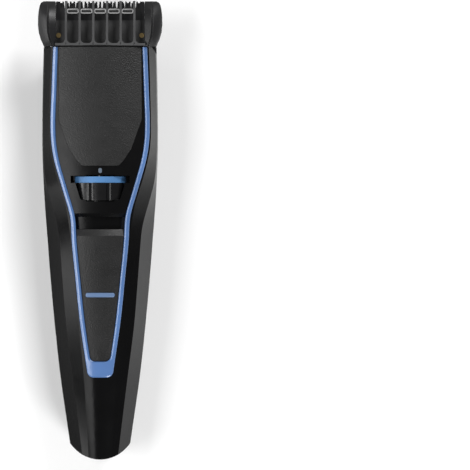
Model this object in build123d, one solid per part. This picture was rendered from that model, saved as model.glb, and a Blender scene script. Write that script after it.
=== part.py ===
"""Cordless beard trimmer lying on its back: a build123d model in millimetres.

+X is the right-hand side, +Y runs from the tail to the cutting head and +Z comes out of the front face.
Places along Y are measured from the tail end. The export moves everything so that the origin is the
centre of the footprint, on the surface that the trimmer lies on.
"""
from build123d import *
from functools import cache
from math import atan2, cos, floor, pi, sin, sqrt
import os

# ---------------------------------------------------------------- overall sizes
body_length = 153.0       # tail end to the head end of the handle shells
body_width = 43.0         # widest part of the handle
body_depth = 33.0         # resting face to the front surface at the length wheel
comb_overhang = 17.0      # reach of the comb past the shells
overall_length = body_length + comb_overhang

# ---------------------------------------------------------------- clearances
fit_gap = 0.1             # between pieces that are fixed together
slide_gap = 0.2           # beside a piece that slides
run_gap = 0.05            # radial, around a shaft that turns
free_gap = 0.4            # between moving pieces that must not touch

# ---------------------------------------------------------------- shells
wall = 2.0
split_height = 16.0       # parting line between the rear and front shells
tail_radius = 13.8        # plan radius of the rounded tail
shoulder_run = 3.2        # length of the diagonal cut at each front shoulder
shoulder_rise = 2.2       # width of that cut

# Cross-sections of the handle for the nominal length, width and depth. Each row has the place along the
# handle, the half widths at the side, crease, shoulder and back, then the heights of the crown,
# shoulder, crease and back.
nominal = (153.0, 43.0, 33.0)
stations = [
    (-4.0, 9.8, 6.0, 4.0, 4.5, 24.8, 23.8, 22.4, 8.0),
    (12.0, 12.1, 7.9, 4.9, 6.0, 26.7, 25.6, 23.9, 3.8),
    (30.0, 14.7, 10.1, 6.0, 8.0, 28.7, 27.5, 25.4, 0.7),
    (50.0, 16.9, 12.6, 7.9, 9.5, 30.4, 29.3, 26.6, -0.5),
    (70.0, 18.7, 14.2, 9.8, 10.5, 31.8, 30.4, 27.2, -0.8),
    (86.0, 19.9, 15.6, 11.4, 11.5, 32.6, 30.9, 27.0, -0.8),
    (95.0, 20.6, 18.0, 13.0, 12.0, 32.9, 30.7, 24.8, -0.7),
    (104.0, 21.1, 20.3, 15.8, 12.5, 32.8, 29.9, 21.4, -0.4),
    (116.0, 21.5, 21.1, 18.5, 13.0, 32.2, 28.7, 20.2, 0.7),
    (134.0, 21.4, 21.0, 18.6, 13.0, 30.6, 27.4, 19.8, 2.8),
    (153.0, 21.0, 20.6, 18.0, 12.5, 28.6, 25.7, 19.4, 5.2),
    (166.0, 20.6, 20.2, 17.4, 12.0, 27.2, 24.5, 19.2, 6.9),
]
section_step = 6.0        # spacing of the blended sections
along = body_length / nominal[0]
across = body_width / nominal[1]
deep = body_depth / nominal[2]

# ---------------------------------------------------------------- front panels
trim_width = 1.8          # blue trim line
trim_proud = 0.35
pocket_depth = 2.6        # front recess that takes the trim, cover and slider
pocket_floor = 1.6
cover_drop = 0.45         # the cover and slider lie this much below the crown line
shield_drop = 0.25
shield_thickness = 1.1
panel_corner = 2.0
trim_round = 0.7
bar_round = 0.4
mark_round = 0.2
trim_line = [             # half width and place of the middle of the trim line
    (16.2, 160.0), (16.6, 151.0), (17.2, 134.0), (17.15, 117.0), (15.8, 109.5), (14.1, 103.6),
    (11.9, 96.2), (10.25, 90.0), (9.75, 83.0), (8.6, 70.2), (6.7, 51.7), (4.75, 38.0), (3.0, 26.0),
]
trim_bottom = 30.4 * along
pad_top = 36.4 * along    # the trim is one solid pad below this
cover_bottom = 89.9 * along
cover_slope = 1.3         # length of the slope at the cover's lower edge
cover_slope_angle = 40.0
slider_top = 85.3 * along
slider_slope = 2.4
slider_slope_angle = 22.0
slider_travel = 3.5
slider_thickness = 1.5
stem_length = 7.0         # the slider's stem, down through the pocket floor
stem_half = 2.3
thumb_bar_place = 61.0 * along
thumb_bar_width = 1.7
thumb_bar_half = 5.4 * across
thumb_bar_height = 0.6
thumb_bar_inlay = 0.5     # depth of the bar's seat in the slider
mark_place = 107.0 * along
mark_length = 1.9
mark_width = 1.3
mark_proud = 0.1
mark_floor = 1.2          # bottom of the mark's seat below the crown line
shield_line = [           # half width and place of the right edge of the shield plate
    (15.2, 160.0), (15.4, 126.0), (11.5, 115.1), (8.6, 110.7), (6.8, 108.8),
]

# ---------------------------------------------------------------- length wheel
wheel_radius = 12.5
wheel_top_drop = 0.1      # top of the wheel below the crown
wheel_ribs = 12
rib_groove = 1.1          # radius of the grooves between the ribs
ribs_start = 96.0 * along
ribs_length = 6.4
ring_length = 2.6
ring_thickness = 1.5
cam_radius = 7.4
cam_length = 15.6
cam_groove_depth = 2.0
axle_radius = 1.6
axle_web = 1.6            # thickness of each web that holds the axle
axle_web_half = 6.0
axle_web_rise = 3.0       # webs above the axle's middle
leaf_thickness = 0.4      # click spring beside the wheel
leaf_foot = 3.2
comb_travel = 9.5
wheel_sweep = 300.0       # degrees of the wheel for the whole comb travel
groove_margin = 12.0      # degrees that the groove runs on at each end
follower_radius = 1.0
window_drops = (2.35, 4.05, 6.4)   # how far down the wheel each corner of the window shows

# ---------------------------------------------------------------- comb and carriage
arm_depth = 2.1           # arm face in from the widest side of the handle to its inner face
arm_thickness = 1.8
arm_height = 3.9
arm_top = 15.3
rail_width = 2.4
rail_inset = 4.1          # outer side of each rail inside the comb arms
carriage_half = 2.6       # half length of the plate across the handle
rail_thickness = 2.4
ear_length = 5.0
peg_radius = 0.8
peg_length = 3.0
comb_ribs = 6
comb_rib_width = 0.75
comb_gap = 0.35           # between the handle's head end and the comb
comb_bulge = 2.05         # the comb's sides stand this much wider than the handle
head_clearance = 1.0      # between the cutter holder and the comb's side walls

# ---------------------------------------------------------------- cutter
deck_thickness = 2.2
deck_setback = 2.8        # deck face behind the head end of the shells
holder_wall = 1.3
holder_reach = 9.8        # cutter holder past the shells
blade_reach = 16.8        # blade tips past the shells
blade_thickness = 0.6
tooth_pitch = 1.37
tooth_depth = 2.3
face_height = 24.2        # front face of the cutter holder
face_thickness = 1.1
blade_travel = 0.9

# ---------------------------------------------------------------- motor
motor_radius = 9.6
can_wall = 0.8
magnet_thickness = 1.9
bell_length = 1.8
shaft_radius = 1.0
cam_disc_radius = 4.0
cam_disc_length = 4.5
crank_radius = 0.6
crank_length = 3.2
fork_thickness = 2.4

# ---------------------------------------------------------------- battery and circuit
battery_diameter = 14.5
battery_start = 26.0
saddle_inset = 10.0       # each saddle under the cell from the cell's end
saddle_half = 9.0
saddle_thickness = 1.6
board_thickness = 1.2
switch_height = 1.9
switch_floor = 0.5
switch_wall = 2.6         # switch case past each end of the nub's travel
switch_half = 3.0
nub_rise = 1.6            # nub above the switch case
nub_length = 2.4
nub_half = 1.5
board_half = 7.0
board_post_inset = 3.0    # posts that press the board down, from the cell's ends
board_post_radius = 1.6
chips = [                 # middle across, middle from the board's near or far end, then the size
    (3.6, 9.0, 4.0, 5.0, 1.0), (-3.4, 17.0, 3.2, 3.2, 0.9), (4.4, -4.5, 3.6, 4.0, 1.2),
]
tab_thickness = 0.3
tab_half = 2.2
jack_half = 4.2
jack_height = 13.0
jack_bore = 2.5
jack_depth = 4.8          # depth of the round socket
jack_chamber = 9.0        # depth of the narrower chamber behind it
jack_length = 10.5
pin_radius = 0.8
lead_radius = 0.5
screw_radius = 1.1
screw_head = 1.9
screw_pillar = 1.2        # plastic between a screw head and the wall
boss_radius = 2.5

# ---------------------------------------------------------------- derived places
wheel_place = ribs_start + ribs_length / 2
ring_start = ribs_start + ribs_length
ring_end = ring_start + ring_length
cam_start = ribs_start - cam_length
arm_inner = body_width / 2 - arm_depth - 0.5
arm_outer = arm_inner + arm_thickness
comb_lip = body_width / 2 - 3.8
head_face = body_length - slide_gap
deck_start = body_length - deck_setback - deck_thickness
holder_half = arm_inner - head_clearance - slide_gap
blade_half = holder_half - holder_wall


def block(x0, x1, y0, y1, z0, z1):
    """A box between two corners."""
    middle = Pos((x0 + x1) / 2, (y0 + y1) / 2, (z0 + z1) / 2)
    return middle * Box(x1 - x0, y1 - y0, z1 - z0)


def rod(x, z, y0, y1, radius):
    """A round bar along Y."""
    return Pos(x, (y0 + y1) / 2, z) * Rot(90, 0, 0) * Cylinder(radius, y1 - y0)


def post(x, y, z0, z1, radius):
    """A round bar along Z."""
    return Pos(x, y, (z0 + z1) / 2) * Cylinder(radius, z1 - z0)


def side_profile(points, x0, x1):
    """A plate between x0 and x1 whose outline is given as (y, z) points."""
    outline = Polyline([(x0, y, z) for y, z in points], close=True)
    return extrude(Face(Wire(outline.edges())), amount=x1 - x0, dir=(1, 0, 0))


def low_uprights(prism):
    """The vertical edges of a prism that lie nearest the tail."""
    upright = [
        e for e in prism.edges()
        if abs((e @ 0).X - (e @ 1).X) < 0.001 and abs((e @ 0).Y - (e @ 1).Y) < 0.001
    ]
    return ShapeList(upright).group_by(Axis.Y)[0]


def soften(shape, radius):
    """Rounds the rim of a panel's front surface, apart from its end at the head."""
    front = [f for f in shape.faces() if f.normal_at().Z > 0.5 and f.center().Z > split_height]
    edges = [e for f in front for e in f.edges()]
    places = [tuple(round(c, 3) for c in e @ 0.5) for e in edges]
    rim = [
        e for e, place in zip(edges, places)
        if places.count(place) == 1 and place[1] < head_face - fit_gap
    ]
    return shape.fillet(radius, rim)


def both_sides(shape):
    """The shape and its mirror image across the middle plane."""
    return shape + mirror(shape, about=Plane.YZ)


# ---------------------------------------------------------------- handle form
def smooth_rows(rows, step):
    """Rows blended by a cubic curve through the given ones, at even steps of the first value."""
    blended = []
    for i in range(len(rows) - 1):
        before, start = rows[max(i - 1, 0)], rows[i]
        end, after = rows[i + 1], rows[min(i + 2, len(rows) - 1)]
        span = end[0] - start[0]
        count = max(1, round(span / step))
        for k in range(count):
            t = k / count
            row = []
            for a, b, c, d in zip(before, start, end, after):
                slope_in = (c - a) / (end[0] - before[0]) * span
                slope_out = (d - b) / (after[0] - start[0]) * span
                row.append(
                    (2 * t ** 3 - 3 * t ** 2 + 1) * b + (t ** 3 - 2 * t ** 2 + t) * slope_in
                    + (3 * t ** 2 - 2 * t ** 3) * c + (t ** 3 - t ** 2) * slope_out
                )
            row[0] = start[0] + span * t
            blended.append(tuple(row))
    blended.append(rows[-1])
    return blended


def section(station, inset):
    """Closed cross-section of the handle at one station, taken in by the inset all round."""
    y, side, crease, shoulder, back, z_crown, z_shoulder, z_crease, z_back = station
    y = y * along
    side = side * across - inset
    crease = crease * across - 0.75 * inset
    shoulder = shoulder * across - 0.45 * inset
    back = back * across - 0.5 * inset
    z_crown = z_crown * deep - inset
    z_shoulder = z_shoulder * deep - inset
    z_crease = z_crease * deep - 0.6 * inset
    z_back = z_back * deep + inset
    drop = split_height - z_back
    run = side - back
    arc_radius = (drop * drop + run * run) / (2 * run)
    turn = atan2(drop, arc_radius - run)
    mid_x = side - arc_radius + arc_radius * cos(turn / 2)
    mid_z = split_height - arc_radius * sin(turn / 2)

    def lower_side(sign):
        """Rounded side below the parting line, from the side down to the back."""
        return Spline(
            (sign * side, y, split_height), (sign * mid_x, y, mid_z), (sign * back, y, z_back),
            tangents=[(0, 0, -1), (-sign * sin(turn), 0, -cos(turn))],
        )

    def upper_side(sign):
        """Shoulder to crease to side."""
        return [
            Line((sign * shoulder, y, z_shoulder), (sign * crease, y, z_crease)),
            Line((sign * crease, y, z_crease), (sign * side, y, split_height)),
        ]

    edges = [
        Spline((-shoulder, y, z_shoulder), (0, y, z_crown), (shoulder, y, z_shoulder)),
        *upper_side(1),
        lower_side(1),
        Line((back, y, z_back), (-back, y, z_back)),
        lower_side(-1),
        *upper_side(-1),
    ]
    return Face(Wire(edges))


@cache
def form(inset):
    """The handle's solid form running past the head end, with the rounded tail and flat back."""
    radius = tail_radius * across
    r = radius - inset
    far = 170 * along
    plan = Face(Wire([
        ThreePointArc((-r, radius, 0), (0, inset, 0), (r, radius, 0)),
        Line((r, radius, 0), (60, radius + 2 * (60 - r), 0)),
        Line((60, radius + 2 * (60 - r), 0), (60, far, 0)),
        Line((60, far, 0), (-60, far, 0)),
        Line((-60, far, 0), (-60, radius + 2 * (60 - r), 0)),
        Line((-60, radius + 2 * (60 - r), 0), (-r, radius, 0)),
    ]))
    trimmer = extrude(plan, amount=90, dir=(0, 0, 1)).moved(Pos(0, 0, inset))
    return loft([section(s, inset) for s in smooth_rows(stations, section_step)]) & trimmer


def skin(outer_inset, inner_inset):
    """The layer of the handle between two insets."""
    return form(outer_inset) - form(inner_inset)


def panel(line, shift, bottom, top, corner=0.0):
    """A tall prism over a symmetric front panel, with its edge line moved out by the shift."""
    right = [(x * across + shift, y * along) for x, y in line]
    left = [(-x, y) for x, y in reversed(right)]
    edges = [
        Spline(*right),
        Line(right[-1], left[0]),
        Spline(*left),
        Line(left[-1], right[0]),
    ]
    prism = extrude(Face(Wire(edges)), amount=90, dir=(0, 0, 1))
    prism = prism & block(-60, 60, bottom, top, split_height, 90)
    if corner:
        prism = fillet(low_uprights(prism), corner)
    return prism


def height_at(y, column):
    """Height of one line of the cross-sections at a place along the handle."""
    rows = [(s[0] * along, s[column] * deep) for s in smooth_rows(stations, section_step)]
    for (y0, z0), (y1, z1) in zip(rows, rows[1:]):
        if y0 <= y <= y1:
            return z0 + (z1 - z0) * (y - y0) / (y1 - y0)
    return rows[-1][1]


def crown_height(y):
    """Height of the front surface's middle line at a place along the handle."""
    return height_at(y, 5)


def back_height(y):
    """Height of the back at a place along the handle; nothing is below the resting surface."""
    return max(0.0, height_at(y, 8))


wheel_height = crown_height(wheel_place) - wheel_top_drop - wheel_radius
carriage_top = wheel_height - cam_radius - free_gap
carriage_start = cam_start + 0.4
follower_place = cam_start + 2.6
ear_start = ring_end + 17.0
bell_start = ring_end + axle_web + free_gap + 1.2
can_start = bell_start + bell_length
crank_start = deck_start - free_gap - fork_thickness - 0.6
can_end = crank_start - cam_disc_length - free_gap
shaft_end = crank_start - 0.8
battery_end = cam_start - axle_web - 2.0
board_height = crown_height(battery_start) - pocket_depth - pocket_floor - 3.8
motor_height = back_height(can_end) + wall + slide_gap + motor_radius
comb_start = body_length + comb_gap
nub_height = board_height + board_thickness + switch_height
nub_top = nub_height + nub_rise
nub_start = thumb_bar_place - nub_length / 2 - 0.6
tip_place = body_length + blade_reach


# ---------------------------------------------------------------- shells
screw_places = [(battery_diameter / 2 + boss_radius + 0.6, 72.0 * along), (7.4 * across, 22.2)]


def screw_seat(y):
    """Height of the face that a screw head pulls against."""
    return back_height(y) + wall + screw_pillar


def trim_pocket():
    outer = panel(trim_line, trim_width / 2 + fit_gap, trim_bottom - fit_gap, 400, 2.6)
    return outer - form(pocket_depth)


def rocker_slot():
    """Slot in the pocket floor for the slider's stem."""
    half = stem_half + fit_gap + slide_gap
    start = thumb_bar_place - stem_length / 2
    return block(-half, half, start, start + stem_length + slider_travel, split_height, 60)


def wheel_opening(spread):
    """The wheel's room in the pocket floor."""
    top_radius = wheel_radius + spread
    room = rod(0, wheel_height, ribs_start - spread, ring_end + spread, top_radius)
    return room & block(-60, 60, 0, 400, split_height, 60)


def channel(side):
    """The open groove in the rear shell that a comb arm slides in."""
    inner = arm_inner - slide_gap
    z0 = arm_top - arm_height - slide_gap
    z1 = arm_top + slide_gap
    start = ear_start - 1.0
    return block(*sorted((side * inner, side * 60)), start, 400, z0, z1)


def front_shell():
    shell = skin(0, wall)
    floor_plate = skin(0, pocket_depth + pocket_floor)
    rim = panel(trim_line, trim_width / 2 + fit_gap + pocket_floor, trim_bottom - 2.0, 400, 3.0)
    shell = shell + (floor_plate & rim)
    for x, y in screw_places:
        pillar = post(x, y, split_height, 60, boss_radius) & form(wall / 2)
        shell = shell + pillar + mirror(pillar, about=Plane.YZ)
    for y in (battery_start + board_post_inset, battery_end - board_post_inset):
        board_post = post(0, y, board_height + board_thickness, 60, board_post_radius)
        shell = shell + (board_post & form(wall))
    shell = shell - trim_pocket()
    shell = shell - wheel_opening(free_gap) - rocker_slot()
    shell = shell & block(-60, 60, -10, body_length, split_height, 60)
    for x, y in screw_places:
        bore = post(x, y, split_height - 1, split_height + 6.0, screw_radius)
        shell = shell - bore - mirror(bore, about=Plane.YZ)
    edge = body_width / 2
    cut = Polyline(
        [
            (edge - shoulder_rise - 1, body_length + 1, 0),
            (edge + 3, body_length + 1, 0),
            (edge + 3, body_length - shoulder_run - 4, 0),
        ],
        close=True,
    )
    corner = extrude(Face(Wire(cut.edges())), amount=60, dir=(0, 0, 1))
    return shell - corner - mirror(corner, about=Plane.YZ)


def rear_shell():
    shell = skin(0, wall) & block(-60, 60, -10, body_length, 0, split_height)
    shell = shell & form(0)
    low = arm_top - arm_height - slide_gap - 1.6
    rail_wall = block(arm_inner - slide_gap - 1.8, 60, ear_start - 2.8, body_length, low, split_height)
    shell = shell + (both_sides(rail_wall) & form(0))
    for x, y in screw_places:
        pillar = post(x, y, 0, split_height, boss_radius) & form(wall / 2)
        shell = shell + pillar + mirror(pillar, about=Plane.YZ)
    web_top = wheel_height + axle_web_rise
    for y in (cam_start - slide_gap - axle_web, ring_end + slide_gap):
        shell = shell + block(-axle_web_half, axle_web_half, y, y + axle_web, wall / 2, web_top)
    for y in (battery_start + saddle_inset, battery_end - saddle_inset):
        saddle = block(-saddle_half, saddle_half, y, y + saddle_thickness, wall / 2, battery_height - 1.5)
        shell = shell + (saddle & form(wall / 2))
    cell_room = battery_diameter / 2 + fit_gap
    shell = shell - rod(0, battery_height, battery_start - 2, battery_end + 1, cell_room)
    shell = shell - rod(0, wheel_height, cam_start - 9, ring_end + 9, axle_radius)
    shell = shell - channel(1) - channel(-1)
    slot_z0 = carriage_top - 0.8 - slide_gap
    slot_z1 = arm_top - 0.7 + slide_gap
    slot = block(
        arm_inner - 4, 60, ear_start - free_gap, ear_start + ear_length + comb_travel + free_gap,
        slot_z0, slot_z1,
    ) & block(0, arm_inner + 0.5, 0, 400, 0, 60)
    shell = shell - both_sides(slot)
    shell = shell - rod(0, jack_height, -5, 6, jack_bore + 0.2)
    for x, y in screw_places:
        bore = post(x, y, -1, split_height + 1, screw_radius + fit_gap)
        seat = post(x, y, -1, screw_seat(y), screw_head + slide_gap)
        bore = bore + seat
        shell = shell - bore - mirror(bore, about=Plane.YZ)
    return shell


def housing_screws():
    screws = []
    for x, y in screw_places:
        for side in (1, -1):
            shank = post(side * x, y, screw_seat(y) - 0.5, split_height + 5.0, screw_radius)
            head = post(side * x, y, screw_seat(y) - 1.3, screw_seat(y), screw_head)
            screws.append(shank + head)
    return Compound(children=screws)


# ---------------------------------------------------------------- front panels
def slope_cut(panel_solid, start, angle):
    """The panel with its end sloped down from a place along it, following the crown's curve."""
    pivot = (0, start, crown_height(start) - cover_drop)
    turn = Pos(*pivot) * Rot(angle, 0, 0) * Pos(*(-c for c in pivot))
    far = start + 20 if angle < 0 else start - 20
    waste = block(-60, 60, *sorted((start, far)), split_height, 60) - (turn * form(cover_drop))
    return panel_solid - waste


def trim_frame():
    layer = skin(-trim_proud, pocket_depth)
    outer = panel(trim_line, trim_width / 2, trim_bottom, 400, 2.5)
    inner = panel(trim_line, -trim_width / 2, pad_top, 400, 2.2)
    ring = (layer & (outer - inner)) & block(-60, 60, -10, head_face, 0, 60)
    return soften(ring, trim_round)


def window():
    """Opening in the cover that shows the wheel and its number ring."""
    low, middle, high = (
        sqrt(wheel_radius ** 2 - (wheel_radius - drop) ** 2) for drop in window_drops
    )
    points = [
        (low, ribs_start + 0.2), (middle, ring_start), (high, ring_start), (high, ring_end + 0.1),
        (-high, ring_end + 0.1), (-high, ring_start), (-middle, ring_start), (-low, ribs_start + 0.2),
    ]
    outline = Polyline([(x, y, 0) for x, y in points], close=True)
    cut = extrude(Face(Wire(outline.edges())), amount=90, dir=(0, 0, 1))
    return fillet(low_uprights(cut), 0.8)


def shield_prism(shift):
    points = [(x * across + shift, y * along) for x, y in shield_line]
    bottom = points[-1][1] - shift
    points[-1] = (points[-1][0], bottom)
    full = points + [(-x, y) for x, y in reversed(points)]
    outline = Polyline([(x, y, 0) for x, y in full], close=True)
    prism = extrude(Face(Wire(outline.edges())), amount=90, dir=(0, 0, 1))
    prism = prism & block(-60, 60, 0, 400, split_height, 90)
    return fillet(low_uprights(prism), panel_corner)


def mark_prism():
    half = mark_width / 2
    prism = block(
        -half, half, mark_place - mark_length / 2, mark_place + mark_length / 2, split_height, 60
    )
    return fillet(prism.edges().filter_by(Axis.Z), half * 0.95)


def centre_cover():
    layer = skin(cover_drop, pocket_depth)
    prism = panel(trim_line, -trim_width / 2 - fit_gap, cover_bottom, head_face)
    cover = slope_cut(layer & prism, cover_bottom + cover_slope, cover_slope_angle)
    cover = cover - (shield_prism(fit_gap) - form(shield_drop + shield_thickness))
    cover = cover - window() - rod(
        0, wheel_height, ribs_start - free_gap, ring_end + free_gap, wheel_radius + free_gap
    )
    return cover - (mark_prism() - form(mark_floor))


def shield_plate():
    layer = skin(shield_drop, shield_drop + shield_thickness)
    plate = layer & shield_prism(0)
    return plate & block(-60, 60, 0, head_face, 0, 60)


def index_mark():
    return soften(skin(cover_drop - mark_proud, mark_floor) & mark_prism(), mark_round)


def power_slider():
    layer = skin(cover_drop, cover_drop + slider_thickness)
    prism = panel(trim_line, -trim_width / 2 - slide_gap, pad_top + slide_gap, slider_top, 2.0)
    slider = slope_cut(layer & prism, slider_top - slider_slope, -slider_slope_angle)
    stem_top = crown_height(thumb_bar_place) - cover_drop - slider_thickness + 0.4
    start = thumb_bar_place - stem_length / 2 + slide_gap
    end = thumb_bar_place + stem_length / 2 - slide_gap
    stem = block(-stem_half, stem_half, start, end, nub_height + slide_gap, stem_top - 0.3)
    grip = nub_half + fit_gap
    stem = stem - block(-grip, grip, nub_start - slide_gap, nub_start + nub_length + slide_gap, 0, nub_top)
    return slider + stem - (thumb_bar_prism() - form(cover_drop + thumb_bar_inlay))


def thumb_bar_prism():
    y0 = thumb_bar_place - thumb_bar_width / 2
    prism = block(-thumb_bar_half, thumb_bar_half, y0, y0 + thumb_bar_width, split_height, 60)
    return fillet(prism.edges().filter_by(Axis.Z), thumb_bar_width * 0.45)


def thumb_bar():
    layer = skin(cover_drop - thumb_bar_height, cover_drop + thumb_bar_inlay)
    return soften(layer & thumb_bar_prism(), bar_round)


# ---------------------------------------------------------------- length wheel
def zoom_wheel():
    wheel = rod(0, wheel_height, ribs_start, ring_start, wheel_radius)
    for i in range(wheel_ribs):
        angle = 2 * pi * (i + 0.5) / wheel_ribs
        x = (wheel_radius + 0.35) * sin(angle)
        z = wheel_height + (wheel_radius + 0.35) * cos(angle)
        wheel = wheel - rod(x, z, ribs_start - 1, ring_start + 1, rib_groove)
    wheel = wheel + rod(0, wheel_height, cam_start, ribs_start, cam_radius)
    wheel = wheel + rod(0, wheel_height, ring_start, ring_end - slide_gap, wheel_radius - ring_thickness)
    wheel = wheel - rod(0, wheel_height, cam_start - 1, ring_end + 1, axle_radius + run_gap)
    return wheel - cam_groove()


def cam_groove():
    """Left-handed helical cut that turns the wheel's rotation into the comb's travel."""
    pitch = comb_travel * 360 / wheel_sweep
    turn = wheel_sweep + 2 * groove_margin
    middle = cam_radius - cam_groove_depth / 2
    helix = Helix(pitch, pitch * turn / 360, middle, direction=(0, 0, 1), lefthand=True)
    lead = atan2(pitch, 2 * pi * middle)
    profile = Plane(origin=helix.position_at(0), x_dir=(1, 0, 0), z_dir=(0, -1, 0)) * Rectangle(
        cam_groove_depth * 1.4, 2 * (follower_radius + slide_gap) / cos(lead)
    )
    groove = sweep(profile, path=helix, is_frenet=True)
    groove = Rot(0, 90 + groove_margin, 0) * Rot(-90, 0, 0) * groove
    return Pos(0, follower_place - pitch * groove_margin / 360, wheel_height) * groove


def number_ring():
    inner = wheel_radius - ring_thickness
    ring = rod(0, wheel_height, ring_start + fit_gap, ring_end - slide_gap, wheel_radius - 0.2)
    return ring - rod(0, wheel_height, ring_start - 1, ring_end + 1, inner)


def wheel_axle():
    reach = slide_gap + axle_web
    return rod(0, wheel_height, cam_start - reach, ring_end + reach, axle_radius)


def wheel_detent_spring():
    """A leaf beside the wheel's ribs, held in a foot on the rear shell's side."""
    side = -wheel_radius - 0.5
    y0, y1 = ribs_start + 1, ring_start - 1
    low = wheel_height - 4.5
    leaf = block(side - leaf_thickness, side, y0, y1, low, wheel_height + 3)
    return leaf + block(side - leaf_foot, side, y0, y1, low - 0.5, low)


def comb_carriage():
    reach = arm_inner - rail_inset
    z1, z0 = carriage_top, carriage_top - rail_thickness
    y0, y1 = follower_place - carriage_half, follower_place + carriage_half
    plate = block(-reach, reach, y0, y1, z0, z1)
    rails = both_sides(block(reach - rail_width, reach, y0, ear_start + ear_length, z0, z1))
    ears = both_sides(block(
        reach - rail_width, arm_inner + 0.4, ear_start, ear_start + ear_length, z1 - 0.8, arm_top - 0.7
    ))
    shoes = both_sides(block(
        arm_inner, arm_outer, ear_start, ear_start + ear_length, arm_top - arm_height, arm_top
    ))
    pegs = both_sides(rod(
        (arm_inner + arm_outer) / 2, arm_top - arm_height / 2, ear_start + ear_length,
        ear_start + ear_length + peg_length, peg_radius,
    ))
    groove_floor = wheel_height - cam_radius + cam_groove_depth
    follower = post(0, follower_place, z1, groove_floor - slide_gap, follower_radius)
    return plate + rails + ears + shoes + pegs + follower


# ---------------------------------------------------------------- comb
def comb_plan():
    """Plan outline of the comb, from the handle's width out to its bulging sides."""
    base = body_width / 2 - 0.6
    wide = body_width / 2 + comb_bulge - 0.5
    y0 = comb_start
    top = wide - 3.2
    edges = [Line((-base, y0), (base, y0)), Line((top, y0 + 16.4), (-top, y0 + 16.4))]
    for s in (1, -1):
        edges.append(Spline(
            (s * base, y0), (s * (base + 1.15), y0 + 2.2), (s * wide, y0 + 6.6),
            (s * (wide - 0.35), y0 + 12.6),
        ))
        edges.append(ThreePointArc(
            (s * (wide - 0.35), y0 + 12.6), (s * (wide - 1.0), y0 + 15.6), (s * top, y0 + 16.4)
        ))
    return Face(Wire(edges))


def rib_profile():
    """Side view of one comb rib, as (y, z) points."""
    y0, tip = comb_start, body_length + comb_overhang
    under = face_height + free_gap
    return [
        (y0, under), (y0, under + 3.6), (y0 + 4.5, under + 4.6), (y0 + 9.0, under + 4.2),
        (y0 + 13.0, under + 2.4), (tip, face_height - 0.8), (tip - 1.2, face_height - 0.8),
        (body_length + holder_reach + 1.4, face_height - 0.8), (body_length + holder_reach + 0.4, under),
    ]


def comb():
    y0, tip = comb_start, body_length + comb_overhang
    under = face_height + free_gap
    arm_low = arm_top - arm_height
    wall_side = [
        (y0, arm_low), (y0, under + 3.0), (y0 + 4.5, under + 4.4), (y0 + 9.0, under + 4.0),
        (y0 + 13.0, under + 2.2), (tip, face_height - 0.8), (tip - 1.6, face_height - 5.0),
        (y0 + 6.0, arm_low),
    ]
    walls = side_profile(wall_side, arm_inner - 0.3, 60)
    lips = side_profile(rib_profile(), comb_lip - 0.5, arm_inner)
    sides = both_sides(walls + lips) & extrude(comb_plan(), amount=90, dir=(0, 0, 1))
    arms = both_sides(block(
        arm_inner, arm_outer, ear_start + ear_length + fit_gap, y0 + 1.0, arm_low, arm_top
    ))
    body = sides + arms
    pitch = 2 * comb_lip / (comb_ribs + 1)
    for i in range(comb_ribs):
        x = (i - (comb_ribs - 1) / 2) * pitch
        body = body + side_profile(rib_profile(), x - comb_rib_width / 2, x + comb_rib_width / 2)
    reach = pitch * (comb_ribs - 1) / 2
    body = body + block(-comb_lip, comb_lip, y0, y0 + 1.1, under, under + 3.4)
    body = body + block(-reach, reach, y0 + 12.0, y0 + 13.7, under + 0.2, under + 1.9)
    sockets = both_sides(rod(
        (arm_inner + arm_outer) / 2, arm_low + arm_height / 2, ear_start + ear_length - 1,
        ear_start + ear_length + peg_length + slide_gap, peg_radius + run_gap,
    ))
    return body - sockets


# ---------------------------------------------------------------- cutting head
fork_low = motor_height - 2.6
yoke_top = face_height - face_thickness - 2 * blade_thickness - 0.15
yoke_arm_half = 2.6
fork_half = 4.4
slot_half = blade_travel * 2 + crank_radius + run_gap
post_offset = (7.4, 4.6)
post_radius = 1.3


def head_frame():
    """Deck across the head end, with four posts back to the motor."""
    y0, y1 = deck_start, deck_start + deck_thickness
    deck = form(wall + fit_gap) & block(-60, 60, y0, y1, 0, 60)
    low = arm_top - arm_height - 2 * slide_gap - 1.6
    rail_wall = block(arm_inner - slide_gap - 1.8 - fit_gap, 60, y0 - 1, y1 + 1, low, split_height + fit_gap)
    deck = deck - both_sides(rail_wall)
    rim = panel(trim_line, trim_width / 2 + 2 * fit_gap + pocket_floor, trim_bottom - 2.0, 400)
    deck = deck - (rim - form(pocket_depth + pocket_floor + fit_gap))
    deck = deck & block(-arm_inner, arm_inner, y0, y1, 0, 60)
    opening = yoke_arm_half + blade_travel + free_gap
    deck = deck - block(-opening, opening, y0 - 1, y1 + 1, yoke_top - 3.4, yoke_top + 0.5)
    dx, dz = post_offset
    for x in (-dx, dx):
        for z in (motor_height - dz, motor_height + dz):
            deck = deck + rod(x, z, can_end, y0, post_radius)
    return deck


def holder_profile(shrink):
    y0 = deck_start + deck_thickness
    y1 = body_length + holder_reach
    return [
        (y0, 9.4 + shrink), (body_length + 2.0, 10.4 + shrink), (y1 - shrink, 19.6 + 0.4 * shrink),
        (y1 - shrink, face_height - shrink), (y0, face_height - shrink),
    ]


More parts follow.
